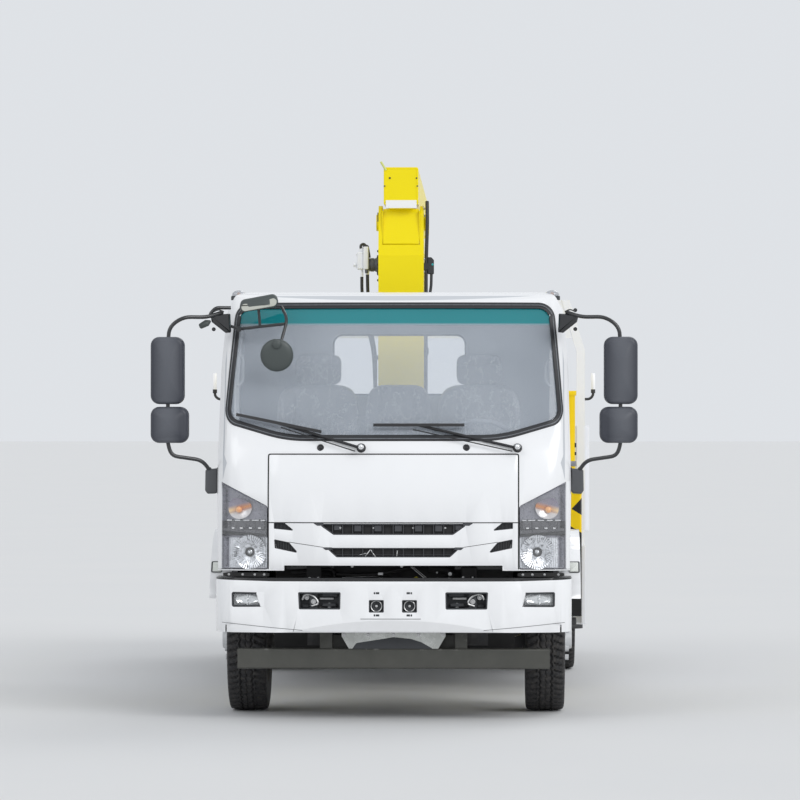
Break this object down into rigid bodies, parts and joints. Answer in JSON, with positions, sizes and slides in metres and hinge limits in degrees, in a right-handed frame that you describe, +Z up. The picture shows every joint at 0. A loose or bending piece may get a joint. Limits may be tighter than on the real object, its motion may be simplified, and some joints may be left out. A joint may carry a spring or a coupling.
{
  "type": "truck-mounted crane",
  "caption": "Wide-cab drop-side truck with a telescopic boom crane and outriggers behind the cab; cab, doors, wheels, boom, jacks and bed sides move.",
  "frame": {"origin": "on the ground at the centre of the vehicle's bounding box", "axes": "+Z up, +Y to the rear, so the truck faces -Y; +X is the vehicle's left side"},
  "size_m": [2.82, 7.95, 3.32],
  "materials": {
    "cab_white": "gloss",
    "bed_white": "gloss",
    "crane_yellow": "gloss",
    "hazard_yellow": "gloss",
    "chassis_black": "satin",
    "beam_grey": "satin",
    "tyre_rubber": "matt",
    "rim_steel": "satin",
    "glass": "clear",
    "lamp": "clear",
    "dark_plastic": "satin",
    "mirror_plastic": "satin",
    "interior_grey": "matt",
    "seat_fabric": "woven",
    "silver_metal": "satin",
    "tank_metal": "satin",
    "rod_chrome": "polished",
    "rubber": "matt",
    "engine_grey": "matt"
  },
  "bodies": {
    "chassis": {"ladder_frame": "chassis_black", "leaf_springs": "chassis_black", "front_axle": "chassis_black", "rear_axle": "chassis_black", "powertrain": "engine_grey", "radiator": "dark_plastic", "bumper": "cab_white", "underrun_beams": "beam_grey", "chassis_lamps": "lamp", "fuel_tank": "tank_metal", "battery_box": "dark_plastic", "exhaust": "silver_metal", "side_guards": "bed_white", "mudguards": "rubber", "crane_base": "crane_yellow", "bed_floor": "bed_white", "headboard": "bed_white"},
    "cab": {"cab_shell": "cab_white", "cab_glass": "glass", "front_panel": "cab_white", "grille": "dark_plastic", "cab_lamps": "lamp", "wipers": "dark_plastic", "dashboard": "interior_grey", "seats": "seat_fabric", "mirror_arms": "dark_plastic", "mirror_heads": "mirror_plastic"},
    "door_left": {"door_left": "cab_white", "door_glass_left": "glass"},
    "door_right": {"door_right": "cab_white", "door_glass_right": "glass"},
    "knuckle_left": {"knuckle_left": "chassis_black"},
    "knuckle_right": {"knuckle_right": "chassis_black"},
    "tie_rod": {"tie_rod": "chassis_black"},
    "wheel_front_left": {"tyre_front_left": "tyre_rubber", "rim_front_left": "rim_steel"},
    "wheel_front_right": {"tyre_front_right": "tyre_rubber", "rim_front_right": "rim_steel"},
    "wheels_rear_left": {"tyres_rear_left": "tyre_rubber", "rims_rear_left": "rim_steel"},
    "wheels_rear_right": {"tyres_rear_right": "tyre_rubber", "rims_rear_right": "rim_steel"},
    "column": {"crane_column": "crane_yellow", "winch": "silver_metal", "column_hoses": "rubber"},
    "boom_base": {"boom_base": "crane_yellow"},
    "boom_middle": {"boom_middle": "crane_yellow"},
    "boom_tip": {"boom_tip": "crane_yellow"},
    "lift_barrel": {"lift_barrel": "crane_yellow"},
    "lift_rod": {"lift_rod": "rod_chrome"},
    "hook": {"hook_block": "crane_yellow"},
    "outrigger_left": {"outrigger_left": "hazard_yellow"},
    "outrigger_right": {"outrigger_right": "hazard_yellow"},
    "jack_left": {"jack_left": "silver_metal"},
    "jack_right": {"jack_right": "silver_metal"},
    "dropside_left": {"dropside_left": "bed_white"},
    "dropside_right": {"dropside_right": "bed_white"},
    "tailgate": {"tailgate": "bed_white"}
  },
  "joints": [
    {"name": "cab_tilt", "type": "hinge", "parent": "chassis", "child": "cab", "pos_m": [0, -3.865, 0.6], "axis": [1, 0, 0], "range_deg": [0, 45]},
    {"name": "door_left_swing", "type": "hinge", "parent": "cab", "child": "door_left", "pos_m": [1.03, -3.505, 1.6], "axis": [0, 0, -1], "range_deg": [0, 68]},
    {"name": "door_right_swing", "type": "hinge", "parent": "cab", "child": "door_right", "pos_m": [-1.03, -3.505, 1.6], "axis": [0, 0, 1], "range_deg": [0, 68]},
    {"name": "steer_left", "type": "hinge", "parent": "chassis", "child": "knuckle_left", "pos_m": [0.8, -2.865, 0.428], "axis": [0, 0, 1], "range_deg": [-35, 35]},
    {"name": "steer_right", "type": "hinge", "parent": "chassis", "child": "knuckle_right", "pos_m": [-0.8, -2.865, 0.428], "axis": [0, 0, 1], "range_deg": [-35, 35]},
    {"name": "tie_rod_slide", "type": "slide", "parent": "chassis", "child": "tie_rod", "axis": [-1, 0, 0], "range_m": [-0.11, 0.11]},
    {"name": "spin_front_left", "type": "hinge", "parent": "knuckle_left", "child": "wheel_front_left", "pos_m": [0.8825, -2.865, 0.428], "axis": [1, 0, 0], "continuous": true},
    {"name": "spin_front_right", "type": "hinge", "parent": "knuckle_right", "child": "wheel_front_right", "pos_m": [-0.8825, -2.865, 0.428], "axis": [1, 0, 0], "continuous": true},
    {"name": "spin_rear_left", "type": "hinge", "parent": "chassis", "child": "wheels_rear_left", "pos_m": [0.8925, 1.61, 0.428], "axis": [1, 0, 0], "continuous": true},
    {"name": "spin_rear_right", "type": "hinge", "parent": "chassis", "child": "wheels_rear_right", "pos_m": [-0.8925, 1.61, 0.428], "axis": [1, 0, 0], "continuous": true},
    {"name": "slew", "type": "hinge", "parent": "chassis", "child": "column", "pos_m": [0, -1.575, 1.4], "axis": [0, 0, 1], "continuous": true},
    {"name": "luff", "type": "hinge", "parent": "column", "child": "boom_base", "pos_m": [0, -1.625, 2.98], "axis": [1, 0, 0], "range_deg": [0, 75]},
    {"name": "extend_middle", "type": "slide", "parent": "boom_base", "child": "boom_middle", "axis": [0, 1, 0], "range_m": [0, 2.8]},
    {"name": "extend_tip", "type": "slide", "parent": "boom_middle", "child": "boom_tip", "axis": [0, 1, 0], "range_m": [0, 2.8]},
    {"name": "hook_swing", "type": "hinge", "parent": "boom_tip", "child": "hook", "pos_m": [0, 2.585, 3.01], "axis": [1, 0, 0], "range_deg": [-75, 20]},
    {"name": "lift_barrel_turn", "type": "hinge", "parent": "column", "child": "lift_barrel", "pos_m": [0, -1.375, 2.3], "axis": [1, 0, 0], "range_deg": [0, 50.5]},
    {"name": "lift_rod_slide", "type": "slide", "parent": "lift_barrel", "child": "lift_rod", "axis": [0, 0.7719, 0.6357], "range_m": [0, 0.649]},
    {"name": "outrigger_left_slide", "type": "slide", "parent": "chassis", "child": "outrigger_left", "axis": [1, 0, 0], "range_m": [0, 0.9]},
    {"name": "outrigger_right_slide", "type": "slide", "parent": "chassis", "child": "outrigger_right", "axis": [-1, 0, 0], "range_m": [0, 0.9]},
    {"name": "jack_left_slide", "type": "slide", "parent": "outrigger_left", "child": "jack_left", "axis": [0, 0, -1], "range_m": [0, 0.43]},
    {"name": "jack_right_slide", "type": "slide", "parent": "outrigger_right", "child": "jack_right", "axis": [0, 0, -1], "range_m": [0, 0.43]},
    {"name": "dropside_left_hinge", "type": "hinge", "parent": "chassis", "child": "dropside_left", "pos_m": [1.2, 1.025, 1.026], "axis": [0, 1, 0], "range_deg": [0, 175]},
    {"name": "dropside_right_hinge", "type": "hinge", "parent": "chassis", "child": "dropside_right", "pos_m": [-1.2, 1.025, 1.026], "axis": [0, -1, 0], "range_deg": [0, 175]},
    {"name": "tailgate_hinge", "type": "hinge", "parent": "chassis", "child": "tailgate", "pos_m": [0, 3.978, 1.026], "axis": [-1, 0, 0], "range_deg": [0, 175]}
  ],
  "couplings": [
    {"joint": "steer_right", "follows": "steer_left", "ratio": 1},
    {"joint": "tie_rod_slide", "follows": "steer_left", "m_per_rad": 0.1408},
    {"joint": "lift_barrel_turn", "follows": "luff", "ratio": 0.66698},
    {"joint": "lift_rod_slide", "follows": "luff", "m_per_rad": 0.49399},
    {"joint": "extend_tip", "follows": "extend_middle", "ratio": 1}
  ]
}
